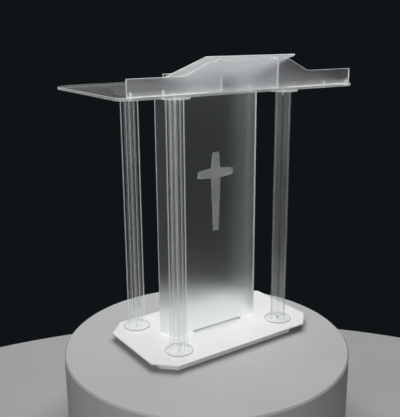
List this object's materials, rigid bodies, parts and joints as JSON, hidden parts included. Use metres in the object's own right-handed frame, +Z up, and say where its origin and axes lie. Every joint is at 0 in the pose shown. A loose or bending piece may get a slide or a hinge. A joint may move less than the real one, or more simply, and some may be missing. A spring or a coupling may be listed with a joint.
{
  "type": "presentation lectern",
  "caption": "Speaker's lectern of clear, frosted and white acrylic: a wide table on plus-shaped columns, with a fascia, a sloping reading plate, a body panel and a base plate.",
  "frame": {"origin": "on the floor, under the middle of the whole lectern's bounding box", "axes": "+Z up; X along the front, symmetric left and right apart from the plinth; -Y is the side the audience sees and +Y the speaker's side"},
  "size_m": [1.0588, 0.664, 1.1492],
  "materials": {
    "clear_acrylic": "polished clear sheet",
    "frosted_acrylic": "frosted translucent sheet with polished edges",
    "white_acrylic": "opaque white gloss",
    "cross_acrylic": "milky white sheet",
    "screw_steel": "bright turned steel",
    "pad_rubber": "matte"
  },
  "bodies": {
    "root": {"base_disc_back_left": "clear_acrylic", "base_disc_back_right": "clear_acrylic", "base_disc_front_left": "clear_acrylic", "base_disc_front_right": "clear_acrylic", "base_plate": "white_acrylic", "base_screw_back_left": "screw_steel", "base_screw_back_right": "screw_steel", "base_screw_front_left": "screw_steel", "base_screw_front_right": "screw_steel", "body_panel": "frosted_acrylic", "book_stop": "clear_acrylic", "column_back_left_back_fin": "clear_acrylic", "column_back_left_blade": "clear_acrylic", "column_back_left_front_fin": "clear_acrylic", "column_back_right_back_fin": "clear_acrylic", "column_back_right_blade": "clear_acrylic", "column_back_right_front_fin": "clear_acrylic", "column_front_left_back_fin": "clear_acrylic", "column_front_left_blade": "clear_acrylic", "column_front_left_front_fin": "clear_acrylic", "column_front_right_back_fin": "clear_acrylic", "column_front_right_blade": "clear_acrylic", "column_front_right_front_fin": "clear_acrylic", "fascia": "frosted_acrylic", "fascia_screw_1": "screw_steel", "fascia_screw_2": "screw_steel", "fascia_screw_3": "screw_steel", "fascia_screw_4": "screw_steel", "fascia_screw_5": "screw_steel", "foot_pad_back_left": "pad_rubber", "foot_pad_back_middle": "pad_rubber", "foot_pad_back_right": "pad_rubber", "foot_pad_front_left": "pad_rubber", "foot_pad_front_middle": "pad_rubber", "foot_pad_front_right": "pad_rubber", "gusset_left": "clear_acrylic", "gusset_right": "clear_acrylic", "panel_cross": "cross_acrylic", "panel_foot_bar": "clear_acrylic", "plinth_rail_back": "white_acrylic", "plinth_rail_front": "white_acrylic", "plinth_rail_left": "white_acrylic", "plinth_rail_left_back_corner": "white_acrylic", "plinth_rail_left_front_corner": "white_acrylic", "plinth_rail_right": "white_acrylic", "plinth_rail_right_back_corner": "white_acrylic", "plinth_rail_right_front_corner": "white_acrylic", "plinth_rib_left": "white_acrylic", "plinth_rib_right": "white_acrylic", "reading_plate": "frosted_acrylic", "table_disc_back_left": "clear_acrylic", "table_disc_back_right": "clear_acrylic", "table_disc_front_left": "clear_acrylic", "table_disc_front_right": "clear_acrylic", "table_screw_back_left": "screw_steel", "table_screw_back_right": "screw_steel", "table_screw_front_left": "screw_steel", "table_screw_front_right": "screw_steel", "table_top": "clear_acrylic"}
  },
  "joints": []
}
